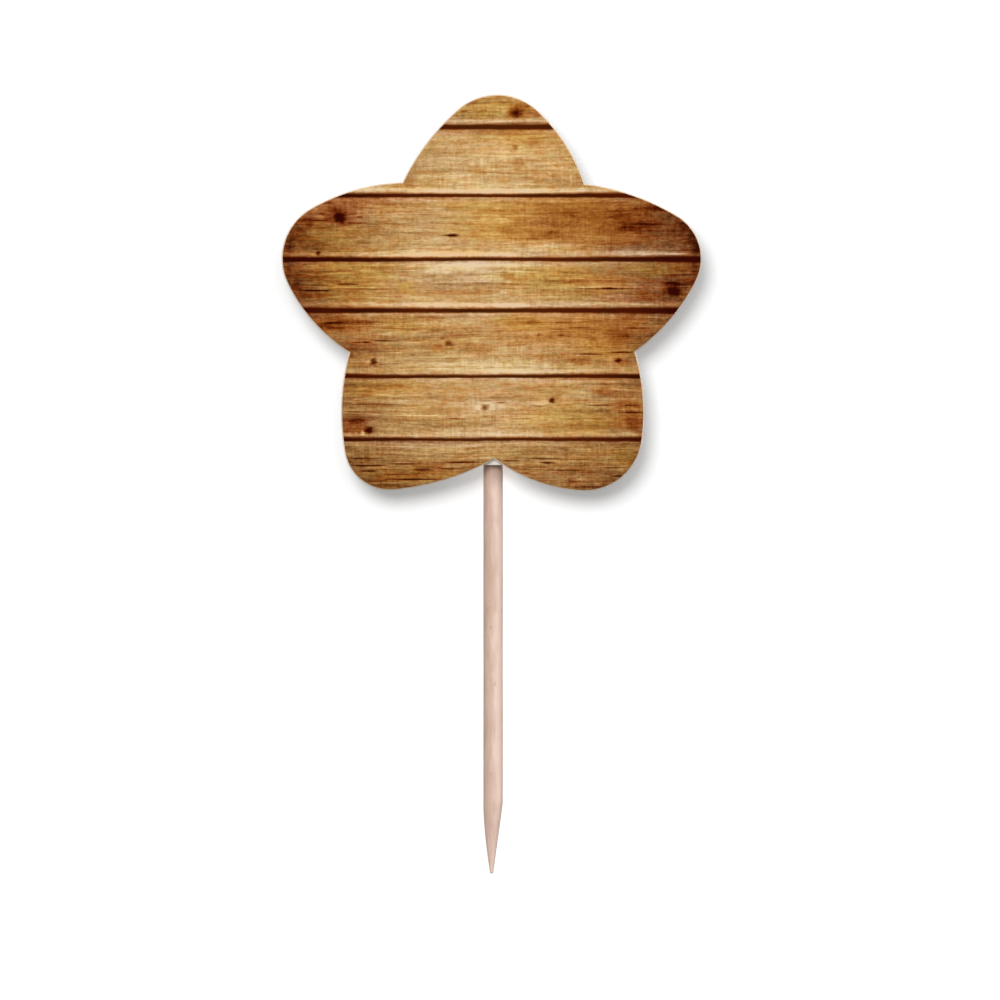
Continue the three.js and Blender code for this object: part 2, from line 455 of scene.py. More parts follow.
# Printed paper: weathered boards
printed = {
    "seams": [18.0, 11.15, 4.75, -0.35, -6.95, -13.25],        # heights above the star's centre
    "seamHalf": [0.25, 0.16, 0.16, 0.2, 0.145, 0.135],
    # Beside the seams: height above the seam, and where it starts and ends to fade, in half widths
    "dark": (0, 0.55, 1.4),
    "shade": (0.05, 0.8, 2.1),
    "lip": (0.5, 0.4, 2.4),
    "lowerLip": (-0.5, 0.2, 2.0),
    "beside": (0, 1.0, 5.0),
    "halfLength": 20,        # of a board
    "litLength": 19,         # the boards darken on the way out to here, sideways and upwards
    "litHeight": 32,
    "boards": [  # tone, redness, seed and streaks, from the bottom board up
        (-0.05, 0.30, 0.10, 1.0), (0.02, 0.45, 0.25, 0.5), (-0.02, 0.45, 0.40, 0.8),
        (-0.01, 0.45, 0.55, 0.7), (0.01, 0.55, 0.70, 0.6), (0.09, 0.40, 0.85, 0.3),
        (0.02, 0.50, 0.95, 0.9),
    ],
    # Grain: scale along, into and up the boards, and detail
    "grain": {
        "wave": ((0.08, 0, 0.3), 1), "ripple": ((0.7, 0, 0.5), 2), "sway": ((0.05, 0, 0.35), 1),
        "broad": ((0.07, 1, 0.6), 2), "bands": ((0.10, 1, 1.9), 3), "lines": ((0.22, 1, 4.4), 3),
        "dashes": ((0.8, 1, 6.5), 2), "mottle": ((1.1, 1, 1.3), 3), "weave": ((5, 1, 0.7), 2),
        "specks": ((2.6, 1, 5.0), 2), "streaks": ((0.10, 1, 3.2), 3), "shines": ((0.16, 1, 3.6), 3),
        "woven": ((0.12, 1, 0.3), 1), "slow": ((0.16, 1, 0.4), 1), "patches": ((0.12, 1, 0.5), 3),
        "tinges": ((0.7, 1, 2.6), 3), "flecks": ((0.6, 1, 1.9), 3), "tooth": ((9, 9, 9), 3),
    },
    # How much of each goes into the tone, or shifts the seams: wave and ripple
    "tone": {
        "wave": 0.2, "ripple": 0.12, "broad": 0.24, "bands": 0.34, "lines": 0.34, "dashes": 0.26,
        "mottle": 0.16, "specks": 0.3, "streaks": 0.13, "shines": 0.15, "lip": 0.13,
        "lowerLip": 0.05, "shade": 0.38,
    },
    "blue": (1.3, 0.64),     # the ink's blue where it is least and most yellow
    # The ink's colours at a few tones, and how many steps lead from one to the next
    "inkTones": (20, 50, 90, 150, 210),
    "gold": ((53, 15, 0), (90, 45, 15), (130, 85, 45), (188, 148, 95), (235, 207, 160)),
    "russet": ((51, 5, 0), (90, 30, 0), (140, 74, 28), (193, 136, 78), (238, 197, 146)),
    "inkSteps": 4,
    "paper": (236, 228, 214),
    "inkDepth": 0.02,
    "rounding": 0.03,
    "inset": 0.3,            # of the innermost ring of points
    "trim": 0.02,            # the paper is cut this much inside the card's rim
    # Edges of the marks: scale of their waver, how far it goes, and where they fade out and in
    "edges": {
        "stains": ((0.8, 0, 2.2), (0.9, 0, 0.35), 1.4, 0.1),
        "tints": ((0.4, 0, 1.3), (2.2, 0, 0.5), 1.4, 0.2),
        "lines": ((0.35, 0, 0.6), (0.4, 0, 0.14), 1.25, 0.4),
        "knots": ((0.8, 0, 4.5), (0.6, 0, 0.24), 1.5, 0.2),
    },
    # Marks on the boards: x, z, half length, half height, tone, redness
    "stains": [
        # end board at the top
        (3.6, 19.7, 1.6, 0.7, -0.10, 0.8), (-0.6, 20.3, 1.5, 0.35, 0.05, 0),
        (0.5, 18.6, 4.0, 0.25, 0.08, 0),
        # second board
        (4.0, 16.5, 0.9, 0.6, -0.09, 0.7), (2.4, 14.5, 0.8, 0.4, -0.08, 0.2),
        (5.5, 12.7, 2.4, 0.5, -0.05, 0), (-3.0, 14.5, 4.0, 1.5, 0.03, 0),
        (-1.0, 12.2, 5.0, 0.4, 0.05, -0.2),
        # third board
        (-15.0, 9.5, 2.0, 0.7, -0.10, 0.9), (-19.1, 7.1, 1.0, 0.6, -0.08, 0.2),
        (-18.0, 6.3, 2.0, 0.6, -0.05, 0), (-12.8, 10.3, 3.6, 0.5, 0.02, 0.6),
        (-0.6, 7.2, 0.9, 0.35, 0.02, 0.7), (1.2, 7.5, 0.9, 0.5, -0.06, 0.7),
        (4.0, 8.0, 3.5, 2.2, -0.05, 0.3), (10.5, 8.6, 8.0, 2.8, -0.10, 0.3),
        (17.5, 7.5, 3.0, 1.5, -0.04, 0.1), (12.6, 9.2, 1.0, 0.55, -0.08, 0.6),
        (16.3, 9.9, 2.2, 0.6, -0.07, 0.2), (6.0, 7.3, 1.1, 0.45, -0.09, 0.9),
        (1.0, 8.6, 0.8, 0.35, 0.07, -0.2), (5.0, 5.9, 5.5, 0.7, 0.10, -0.3),
        (15.2, 6.3, 4.4, 0.5, -0.03, 0), (-6.0, 5.35, 6.5, 0.35, 0.10, 0.1),
        (-8.0, 6.3, 6.0, 1.2, 0.04, -0.2),
        # fourth board
        (-15.0, 4.0, 4.5, 0.6, 0.06, 0.1), (-3.5, 3.9, 6.0, 0.9, 0.10, -0.3),
        (2.5, 4.0, 3.5, 0.7, 0.06, -0.2), (-17.9, 1.2, 1.8, 0.3, -0.08, 0.6),
        (-4.6, 1.4, 4.8, 0.3, -0.08, 0.6), (-6.0, 0.4, 8.0, 0.35, 0.07, 0),
        (1.5, 3.1, 0.8, 0.5, -0.08, 0.2), (10.9, 2.7, 4.0, 0.35, 0.01, 0.4),
        (15.5, 0.95, 2.0, 0.6, -0.07, 0.5), (12.5, 0.4, 5.0, 0.3, 0.07, 0),
        # fifth board
        (-15.5, -1.8, 3.0, 0.9, -0.10, 0.5), (-5.5, -4.0, 0.9, 0.4, -0.05, 0.6),
        (-2.5, -5.7, 8.5, 0.8, 0.08, -0.3), (3.9, -1.5, 1.2, 0.3, -0.12, 0.8),
        (9.9, -3.2, 0.8, 0.35, -0.12, 0.5), (12.6, -3.0, 1.3, 1.0, -0.06, 0.6),
        (5.6, -4.8, 2.2, 0.2, -0.08, 0.2), (8.4, -5.3, 1.4, 0.25, -0.08, 0.7),
        (13.2, -5.3, 0.5, 0.25, -0.10, 0.5), (4.0, -6.1, 7.0, 0.55, 0.10, -0.3),
        (1.7, -4.1, 1.5, 0.25, 0.07, -0.2), (10.5, -2.2, 6.0, 1.7, -0.03, 0.5),
        (4.5, -2.4, 5.0, 2.0, -0.05, 0.6),
        # sixth board
        (-10.5, -8.4, 4.5, 0.7, 0.01, 0.4), (-14.0, -12.0, 1.2, 0.8, -0.10, 0.6),
        (-0.8, -9.9, 1.8, 0.9, 0.08, -0.3), (13.0, -9.8, 2.0, 0.4, -0.10, 0.6),
        (14.3, -11.5, 1.1, 0.8, -0.10, 0.6), (10.9, -8.5, 1.0, 0.6, -0.08, 0.3),
        (3.8, -8.2, 0.7, 0.2, -0.05, 0.6),
        # bottom board
        (-8.0, -16.6, 7.0, 1.0, -0.05, 0.4), (-6.0, -14.3, 7.0, 0.7, 0.05, 0),
        (7.8, -17.4, 0.7, 0.2, -0.14, 0.1), (7.2, -14.2, 0.6, 0.12, -0.12, 0.1),
        (7.0, -16.6, 7.0, 1.0, -0.03, 0.2),
        # round the knots
        (2.1, 19.5, 0.9, 0.55, -0.13, 0.4), (2.7, 19.9, 0.9, 0.4, -0.10, 0.5),
        (1.1, 19.4, 0.5, 0.35, 0.09, 0), (-15.2, 9.0, 1.9, 0.8, -0.13, 0.4),
        (-14.6, 8.3, 0.9, 0.25, -0.10, 0.3), (-15.9, 9.8, 1.2, 0.3, -0.08, 0.4),
        (17.9, 1.8, 1.3, 0.8, -0.12, 0.3), (12.4, -5.2, 1.1, 0.6, 0.05, 0.3),
        (-12.3, -5.2, 1.0, 0.6, 0.04, 0.2), (5.9, -9.4, 0.6, 0.45, -0.06, 0),
        (-0.8, -10.0, 0.8, 0.5, 0.07, -0.1), (-12.8, -12.3, 0.9, 0.5, -0.07, 0.2),
        # burnt edges
        (14.6, 10.8, 1.3, 0.35, -0.12, 0.1), (16.4, 10.1, 1.2, 0.4, -0.12, 0.1),
        (17.9, 9.2, 1.1, 0.45, -0.13, 0), (19.1, 8.2, 0.9, 0.55, -0.14, 0),
        (19.9, 7.1, 0.7, 0.75, -0.13, -0.1), (20.4, 5.8, 0.6, 0.9, -0.2, -0.1),
        (20.2, 4.2, 0.45, 0.9, -0.12, 0), (-18.6, 8.6, 0.8, 0.6, -0.09, 0.1),
        (-20.2, 6.5, 0.5, 1.2, -0.11, -0.1), (-20.5, 4.2, 0.4, 1.0, -0.09, -0.1),
        (-19.6, 2.3, 0.5, 0.9, -0.09, 0.2), (9.5, -18.0, 5.0, 0.25, -0.07, 0),
        (-9.0, -17.9, 4.0, 0.25, -0.07, 0),
        # evening out
        (-9.0, 12.5, 1.2, 1.5, -0.06, 0), (-14.0, 2.5, 3.0, 1.2, 0.06, 0),
        (6.5, 8.0, 2.5, 2.0, -0.04, 0), (-1.0, -9.0, 3.0, 1.5, -0.02, 0),
        (2.5, -15.5, 2.5, 0.7, -0.05, 0), (2.8, 20.4, 1.3, 0.5, -0.06, 0),
        (0.3, 17.55, 6.5, 0.4, -0.16, 0.3), (0.6, 14.6, 1.0, 2.0, 0.03, 0),
        (3.0, 14.0, 1.2, 1.5, -0.03, 0),
    ],
    # Broad changes of colour: tone, redness and yellowness
    "tints": [
        (0, 19.8, 4.0, 1.2, 0, 0, 0.35), (3.5, 16.5, 3.0, 1.6, 0, 0.3, 0.15),
        (2.5, 17.2, 3.5, 0.8, 0, 0, 0.25), (-17.0, 6.8, 4.0, 1.8, 0, -0.2, 0.35),
        (-15.3, 9.7, 3.2, 1.1, 0, 0.6, -0.3), (-15.5, 8.8, 1.5, 0.7, 0, 0.2, -0.6),
        (-8.0, 8.0, 4.5, 2.5, 0, -0.1, 0), (-0.5, 8.5, 4.0, 2.0, 0, 0, 0.25),
        (5.5, 9.8, 6.5, 1.4, 0, 0.5, 0.2), (5.0, 7.4, 5.0, 0.9, 0, 0.5, 0.25),
        (10.5, 8.8, 4.0, 2.0, 0, 0.2, 0.25), (17.8, 7.6, 3.5, 2.4, 0, -0.2, -0.15),
        (15.5, 5.6, 5.0, 0.6, 0, -0.4, -0.6), (-10.0, 11.0, 6.5, 0.4, 0, 0.5, -0.4),
        (-3.0, 10.2, 3.0, 0.7, 0, 0.1, 0.2), (-15.0, 3.4, 5.0, 1.3, 0, 0, 0.5),
        (-15.5, 1.6, 4.5, 1.2, 0, 0, 0.3), (-4.5, 2.6, 5.5, 1.6, 0, -0.2, -0.1),
        (-8.6, 1.9, 1.0, 0.6, 0, 0, 0.5), (5.5, 3.0, 5.5, 1.0, 0, 0, 0.4),
        (6.5, 1.5, 5.0, 1.0, 0, -0.1, 0.2), (11.0, 2.4, 4.0, 0.7, 0, 0.4, 0.1),
        (17.2, 2.1, 3.0, 0.8, 0, 0.3, -0.6), (13.0, 0.9, 2.5, 0.5, 0, 0.2, -0.4),
        (16.5, 3.8, 3.5, 0.8, 0, -0.1, 0.35), (16.0, 0.6, 3.0, 0.5, 0, 0, -0.3),
        (-14.8, -1.6, 3.4, 1.1, 0, 0.6, 0.1), (-9.5, -1.8, 2.5, 1.0, 0, 0.1, 0.2),
        (-3.0, -3.8, 8.0, 2.3, 0, -0.15, 0), (2.5, -1.4, 2.5, 1.0, 0, 0.1, 0.4),
        (8.0, -2.2, 6.0, 1.4, 0, 0.4, 0.2), (11.5, -4.2, 3.0, 1.2, 0, 0.3, 0.2),
        (-12.0, -8.0, 4.5, 0.9, 0, 0, 0.35), (8.5, -11.2, 6.0, 1.5, 0, 0, 0.35),
        (0, -9.8, 5.0, 1.8, 0, -0.1, -0.15), (-13.2, -11.7, 2.0, 0.9, 0, 0.2, -0.3),
        (13.6, -10.8, 1.6, 1.8, 0, 0.4, 0), (-9.0, -16.8, 5.5, 1.0, 0, -0.2, 0.25),
        (13.0, -15.0, 1.6, 1.5, 0, -0.1, 0.3), (-6.0, -13.9, 7.0, 0.5, 0, -0.1, -0.2),
        # evening out
        (7.0, 8.2, 9.0, 2.8, -0.02, 0.25, 0), (13.8, 8.0, 3.0, 2.2, -0.04, 0.1, 0),
        (-1.5, 2.0, 5.5, 1.8, -0.045, 0.05, 0), (10.3, 2.2, 1.8, 1.6, 0, 0.2, 0),
        (16.8, 2.0, 3.0, 1.6, 0, -0.15, 0), (-1.8, -3.3, 5.5, 2.2, -0.05, 0.15, 0),
        (-13.2, -3.6, 2.6, 2.0, -0.035, 0.3, 0), (14.2, -3.6, 2.0, 2.0, 0, -0.2, 0),
        (-8.6, -9.8, 2.8, 2.2, 0.04, -0.1, 0), (-13.2, -10.0, 3.2, 2.4, 0, -0.15, 0),
        (17.5, -10.0, 2.0, 2.5, 0, -0.2, 0), (-13.2, -15.6, 3.6, 1.8, 0.035, -0.35, 0),
        (13.0, -15.6, 2.6, 1.6, 0.04, -0.2, 0), (-12.0, 2.2, 2.0, 1.5, 0.03, 0, 0),
        (-14.8, 8.0, 2.0, 2.0, 0.03, 0, 0), (-17.5, 8.5, 2.5, 2.0, 0, 0.15, 0),
        (-3.0, 15.0, 3.0, 2.0, -0.02, 0.05, 0),
    ],
    "lines": [
        (-0.9, 19.6, 1.6, 0.08, -0.14, 0.3), (-2.9, 19.6, 0.5, 0.12, -0.20, 0),
        # second board
        (4.9, 13.64, 2.8, 0.07, -0.12, 0.3), (-0.7, 13.46, 1.9, 0.07, -0.10, 0),
        (-5.1, 13.1, 2.7, 0.07, 0.10, 0), (-3.8, 15.1, 2.5, 0.07, -0.08, 0),
        (3.4, 14.7, 1.8, 0.07, -0.11, 0), (-5.8, 14.2, 1.6, 0.07, 0.08, 0),
        # third board
        (-17.1, 9.32, 0.5, 0.12, -0.16, 0.3), (-17.4, 8.65, 1.0, 0.09, -0.16, 0.3),
        (-17.3, 9.05, 0.8, 0.09, 0.10, 0), (-14.0, 9.12, 0.7, 0.08, 0.14, 0),
        (-13.4, 9.0, 0.35, 0.12, -0.16, 0.3), (-13.6, 8.4, 1.2, 0.09, -0.14, 0.3),
        (-11.5, 8.2, 1.8, 0.07, 0.08, 0), (-4.4, 7.15, 1.1, 0.09, -0.24, 0),
        (-4.0, 7.15, 0.6, 0.22, -0.32, 0), (-5.0, 8.95, 0.7, 0.07, -0.12, 0),
        (7.0, 9.45, 1.9, 0.2, -0.10, 0.8), (15.3, 8.28, 2.3, 0.08, -0.16, 0.3),
        (13.5, 7.85, 1.3, 0.3, -0.10, 0.8), (2.6, 6.85, 2.4, 0.12, -0.07, 0.7),
        (15.2, 5.45, 4.4, 0.3, 0.10, -0.2), (17.9, 5.3, 1.6, 0.08, 0.12, 0),
        # fourth board
        (-11.6, 3.8, 0.9, 0.2, -0.08, -0.2), (-18.1, 2.18, 2.0, 0.08, -0.15, 0.3),
        (-14.6, 2.28, 1.3, 0.1, -0.32, 0.2), (-17.7, 1.62, 2.0, 0.11, -0.26, 0.4),
        (-12.6, 1.8, 3.0, 0.1, -0.18, 0.3), (-16.0, 1.95, 4.0, 0.07, 0.07, 0),
        (-1.0, 2.45, 1.2, 0.07, -0.12, 0), (-5.1, 2.3, 1.7, 0.07, -0.08, 0),
        (-1.1, 0.5, 2.8, 0.07, -0.08, 0), (11.2, 1.83, 3.6, 0.08, -0.26, 0.2),
        (11.5, 1.9, 0.8, 0.13, -0.22, 0.2), (15.5, 2.02, 4.3, 0.06, 0.08, 0),
        (18.6, 3.2, 1.7, 0.09, -0.16, 0), (19.0, 2.2, 1.0, 0.08, -0.16, 0),
        # fifth board
        (-16.0, -1.56, 1.1, 0.1, -0.16, 0.3), (-12.6, -1.86, 4.2, 0.07, 0.10, 0.2),
        (-15.8, -2.1, 1.0, 0.1, -0.14, 0.3), (-14.0, -2.95, 4.0, 0.1, 0.06, 0),
        (-10.7, -3.4, 1.7, 0.08, -0.26, 0.2), (-13.3, -3.53, 1.0, 0.08, -0.18, 0.2),
        (-12.7, -3.53, 0.4, 0.11, -0.2, 0.2), (-5.6, -2.4, 0.9, 0.15, -0.12, 0.3),
        (7.1, -1.6, 1.4, 0.14, -0.09, 0.5), (6.5, -2.23, 0.7, 0.08, -0.16, 0.3),
        (8.5, -2.04, 1.3, 0.08, -0.14, 0.3), (14.5, -2.1, 1.5, 0.12, -0.16, 0.5),
        (6.0, -2.47, 0.4, 0.1, -0.14, 0.2), (6.8, -2.8, 0.4, 0.1, -0.16, 0.2),
        (9.6, -4.7, 1.6, 0.09, -0.26, 0.2), (12.8, -4.53, 1.3, 0.09, -0.26, 0.2),
        # sixth board
        (-11.8, -9.72, 2.9, 0.08, -0.2, 0.1), (-6.8, -9.4, 2.5, 0.08, 0.10, 0),
        (-7.2, -10.87, 2.3, 0.09, 0.13, 0.1), (-13.9, -10.45, 1.0, 0.07, -0.14, 0),
        (-13.9, -10.75, 1.0, 0.07, -0.14, 0), (-0.7, -9.4, 0.9, 0.08, -0.18, 0.3),
        (-3.6, -11.2, 1.3, 0.08, -0.16, 0.5), (0.8, -9.57, 0.6, 0.08, -0.18, 0.2),
        (4.6, -9.9, 0.8, 0.08, -0.16, 0.2), (8.6, -9.33, 2.4, 0.06, -0.13, 0.2),
        (10.6, -9.84, 1.4, 0.09, -0.18, 0.2), (13.8, -9.84, 1.1, 0.12, -0.16, 0.3),
        (13.5, -10.22, 1.2, 0.07, 0.12, 0.3), (13.9, -10.55, 1.2, 0.11, -0.26, 0.3),
        (2.8, -11.2, 1.5, 0.07, -0.16, 0), (8.0, -11.2, 1.4, 0.07, -0.16, 0.2),
        (3.0, -10.85, 3.0, 0.07, 0.09, 0), (10.0, -7.25, 4.0, 0.1, -0.08, 0.6),
        # bottom board
        (-12.6, -15.15, 1.8, 0.1, -0.2, 0.1), (-12.6, -15.85, 1.8, 0.11, -0.3, 0.2),
        (-8.7, -15.68, 1.6, 0.08, -0.2, 0.1), (-2.9, -15.52, 1.9, 0.1, -0.26, 0.2),
        (-12.5, -16.35, 1.0, 0.15, -0.22, 0.2), (-7.0, -16.25, 1.2, 0.14, -0.2, 0.2),
        (-4.5, -16.2, 1.4, 0.08, -0.16, 0.3), (-9.3, -16.7, 3.0, 0.07, -0.15, 0.2),
        (-7.9, -17.22, 2.9, 0.1, -0.3, 0.2), (-12.0, -17.4, 0.9, 0.09, -0.18, 0.1),
        (-7.1, -17.9, 0.8, 0.09, -0.16, 0), (1.8, -15.37, 1.0, 0.1, -0.22, 0.2),
        (5.1, -15.2, 2.0, 0.09, -0.16, 0.2), (5.4, -15.57, 0.85, 0.13, -0.28, 0.1),
        (12.1, -16.07, 1.6, 0.09, -0.2, 0.1), (7.6, -16.34, 2.3, 0.09, -0.2, 0.1),
        (12.5, -16.9, 0.7, 0.1, -0.24, 0.1), (3.2, -16.6, 0.5, 0.1, -0.2, 0.1),
        (9.5, -17.97, 1.6, 0.08, -0.16, 0),
    ],
    # Knots, each with the pale wood beside it
    "knots": [
        (2.3, 19.35, 0.65, 0.45, -0.24, 0.3), (2.2, 16.0, 0.3, 0.25, -0.2, 0.3),
        (-15.35, 8.85, 0.6, 0.55, -0.28, 0.4), (-17.5, 5.35, 0.18, 0.28, -0.26, 0.3),
        (7.9, 9.1, 0.4, 0.14, -0.14, 0.5), (18.1, 1.5, 0.55, 0.5, -0.2, 0.4),
        (17.9, 2.35, 0.8, 0.14, -0.18, 0.3), (-11.95, -5.45, 0.33, 0.36, -0.36, 0.2),
        (-12.5, -5.6, 0.3, 0.2, 0.10, 0.3), (-4.4, -3.6, 0.36, 0.3, -0.28, 0.1),
        (-5.1, -3.1, 0.35, 0.22, -0.12, 0.3), (-3.6, -3.9, 0.3, 0.3, 0.08, 0),
        (4.6, -2.8, 0.15, 0.25, -0.12, 0.2), (12.5, -5.35, 0.3, 0.28, -0.34, 0),
        (11.8, -5.2, 0.35, 0.25, 0.09, 0.4), (-13.7, -11.35, 1.4, 0.25, -0.2, 0.4),
        (-12.4, -12.35, 0.42, 0.38, -0.32, 0.3), (-13.05, -12.6, 0.22, 0.25, 0.24, 0),
        (-0.8, -10.05, 0.5, 0.33, -0.42, 0), (-1.4, -10.05, 0.4, 0.22, 0.18, 0),
        (5.9, -9.4, 0.26, 0.3, -0.34, 0), (5.1, -9.4, 0.4, 0.18, 0.10, 0.1),
    ],
}


def seamMask(look, level, widening, kind):
    # 1 at the seams, and 0 away from them
    rise, near, far = printed[kind]
    if rise:
        level = level - rise
    gap = None
    for height, half in zip(printed["seams"], printed["seamHalf"]):
        distance = abs(level - height) / (widening * half)
        gap = distance if gap is None else look.maths("MINIMUM", gap, distance)
    return 1 - look.step(gap, near, far)


def inkStops(hue):
    # The ink from dark to pale, in steps that look even
    steps = printed["inkSteps"]
    rows = [(tone, *colour) for tone, colour in zip(printed["inkTones"], printed[hue])]
    stops = rows[:1]
    for low, high in zip(rows, rows[1:]):
        for i in range(1, steps + 1):
            stops.append([a + (b - a) * i / steps for a, b in zip(low, high)])
    return [(tone / 255, paint(*colour)) for tone, *colour in stops]


def printedLook():
    look = newLook("printedBoards")
    point = look.place((0, 0, starHeight))
    x, depth, z = look.split(point)
    share = printed["tone"]

    def grain(kind, place=point):
        return look.grain(place, *printed["grain"][kind])

    # Seams are slightly wavy, and wider towards the ends of the boards
    level = z + grain("wave") * share["wave"] + grain("ripple") * share["ripple"]
    outwards = (x / printed["halfLength"]) ** 2
    widening = outwards * 0.5 + look.step(x, -4, 14) * 0.18 + 0.9
    seam = seamMask(look, level, widening, "dark")
    shade = seamMask(look, level, widening, "shade")
    lip = seamMask(look, level, 1, "lip")
    lowerLip = seamMask(look, level, 1, "lowerLip")
    nearSeam = seamMask(look, level, 1, "beside")

    # Each board has its own tone, redness and place in the grain
    reach = 24
    edges = [-reach] + printed["seams"][::-1]
    stops = [((edge / reach + 1) / 2, (tone + 0.5, red, seed, streaky))
             for edge, (tone, red, seed, streaky) in zip(edges, printed["boards"])]
    boards = look.ramp(level / (2 * reach) + 0.5, stops, "CONSTANT")
    boardTone, boardRed, seed = look.split(boards)
    boardStreaks = Wire(look, boards.socket.node.outputs["Alpha"])

    # The boards darken towards the outside
    far = (x + 0.3) * (x + 0.3) / printed["litLength"] ** 2 + z * z / printed["litHeight"] ** 2
    tone = boardTone + 0.17 - far ** 0.9 * 0.33

    # Marks. Stains have edges that wander, and the finer marks are nearly straight
    flat = look.join(x, 0, z)
    marks = look.scaled(flat, 0)
    for kind, (scale, shift, soft, sharp) in printed["edges"].items():
        links = {"Vector": look.vector("MULTIPLY", point, scale), "Scale": 1, "Detail": 2}
        wander = look.node("ShaderNodeTexNoise", links=links, output="Color")
        centred = look.vector("SUBTRACT", wander, (0.5, 0.5, 0.5))
        loose = look.vector("MULTIPLY_ADD", centred, shift, flat)
        for markX, markZ, length, height, *change in printed[kind]:
            inside = look.vector("MULTIPLY_ADD", loose, (1 / length, 0, 1 / height),
                                 (-markX / length, 0, -markZ / height))
            spot = look.step(look.vector("LENGTH", inside, output="Value"), soft, sharp)
            marks = look.vector("ADD", marks, look.scaled((*change, 0)[:3], spot))
    markTone, markRed, markYellow = look.split(marks)

    # Grain
    along = look.join(x + seed * 400, seed * 90, z + grain("sway") * 1.2)
    broad = grain("broad", along)
    bands = grain("bands", along)
    lines = grain("lines", along)
    dashes = grain("dashes", along)
    mottle = grain("mottle")
    weave = grain("weave")
    specks = grain("specks")
    streaks = look.step(grain("streaks", along), 0.07, 0.2)
    shines = look.step(grain("shines", look.vector("ADD", along, (53, 29, 71))), 0.1, 0.22)
    woven = look.step(grain("woven"), -0.15, 0.2)
    rough = lines * share["lines"] + dashes * share["dashes"]
    tone = tone + markTone * (1.15 + rough * 3) + broad * share["broad"] + bands * share["bands"]
    tone = tone + rough + mottle * share["mottle"] + weave * (woven * 0.17 + 0.07)
    tone = tone + specks * share["specks"] + lip * share["lip"] + lowerLip * share["lowerLip"]
    tone = tone + 0.008 - streaks * boardStreaks * share["streaks"]
    tone = tone + shines * boardStreaks * share["shines"]
    tone = tone * (1 - shade * share["shade"])
    slow = grain("slow")
    tone = tone * (1 - seam) + seam * (slow * 0.15 + 0.15 - outwards * 0.1)

    # Hue: from gold to russet, and then more or less blue
    patches = grain("patches", along)
    tinges = grain("tinges", look.vector("ADD", point, (31, 17, 5)))
    redness = boardRed + markRed + patches * 1.0 + tinges * 2.0
    redness = redness * (1 - seam) + seam * (slow * 1.6 + 0.4 + outwards * 0.7)
    inks = [look.ramp(tone, inkStops(hue)) for hue in ("gold", "russet")]
    ink = look.mix(look.step(redness, 0, 1), *inks)
    flecks = grain("flecks", look.vector("ADD", point, (67, 5, 19)))
    yellow = markYellow + patches * 0.3 + flecks * 0.55 + 0.55 - nearSeam * 0.25
    yellow = yellow - look.step(outwards, 0.6, 1.1) * 0.2 + seam * 0.8
    least, most = [(1, 1, blue, 1) for blue in printed["blue"]]
    ink = look.vector("MULTIPLY", ink, look.mix(look.step(yellow, 0, 1), least, most))

    # Ink lies on the front only, and the cut edge shows the paper
    front = frontFace["pos_m"][1] / mm
    onFront = 1 - look.step(depth, front + printed["inkDepth"] / 2, front + printed["inkDepth"])
    colour = look.mix(onFront, paint(*printed["paper"]), ink)
    tooth = grain("tooth")
    return look.show(look.node("ShaderNodeBsdfPrincipled", links={
        "Base Color": colour, "Roughness": 0.5 + tooth * 0.15, "Specular IOR Level": 0.01,
        "Normal": look.bump(tooth, 0.004)}))


def makePrint():
    low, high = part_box("printed_face")
    front, back = low.y / mm, high.y / mm
    rounding, inset = printed["rounding"], printed["inset"]
    margin = -printed["trim"]
    rings = [starRing(margin - inset, front), starRing(margin - rounding, front),
             starRing(margin - rounding * 0.3, front + rounding * 0.3),
             starRing(margin, front + rounding), starRing(margin, back),
             starRing(margin - inset, back)]
    mesh = ringSolid(rings)
    piece = addPiece("printedSheet", mesh, printedLook(), "printed_face")
    leaveOut("blocker", lampObjects["side"], piece)


makePrint()


# White card
card = {
    "white": (240, 233, 220),
    "grey": (226, 217, 202),
    "rim": (226, 206, 184),
    "margin": 0.085,     # past the star's outline, with room for the burr
    "rounding": 0.05,    # the front edge, drawn down by the cutter
    "burr": 0.012,       # the back edge, pushed out by it
    "ragged": 0.012,
    "layers": 8,
    "inset": 0.4,        # of the innermost ring of points
    "rimDepth": (0.02, 0.12),    # how deep the rim's colour goes, at full strength and at most
}


def cardLook():
    look = newLook("whiteCard")
    point = look.place()
    depth = look.split(point)[1]
    fibres = look.grain(point, (5, 5, 3), 4, 0.6)
    cloud = look.grain(point, (0.5, 0.5, 0.5), 2)
    shade = look.step(fibres + cloud * 0.4, -0.4, 0.25)
    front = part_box("star_card")[0].y / mm
    onRim = 1 - look.step(depth, *[front + deep for deep in card["rimDepth"]])    # inky
    colour = look.mix(shade, paint(*card["grey"]), paint(*card["white"]))
    return look.show(look.node("ShaderNodeBsdfPrincipled", links={
        "Base Color": look.mix(onRim, colour, paint(*card["rim"])),
        "Roughness": 0.75 + fibres * 0.2, "Specular IOR Level": 0.3,
        "Normal": look.bump(fibres, 0.01)}))


def makeCard():
    low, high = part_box("star_card")
    front, back = low.y / mm, high.y / mm
    margin, rounding, burr = card["margin"], card["rounding"], card["burr"]
    inset = card["inset"]
    rings = [starRing(margin - inset, front), starRing(margin - rounding, front),
             starRing(margin - rounding * 0.3, front + rounding * 0.3)]
    for depth in evenly(front + rounding, back - burr, (back - front) / card["layers"]):
        rings.append(starRing(margin, depth, card["ragged"]))
    rings += [starRing(margin + burr, back), starRing(margin - inset, back)]
    piece = addPiece("cardStar", ringSolid(rings), cardLook(), "star_card")
    piece.visible_diffuse = False   # its bright back would light up its own shadow
    leaveOut("blocker", lampObjects["side"], piece)


makeCard()


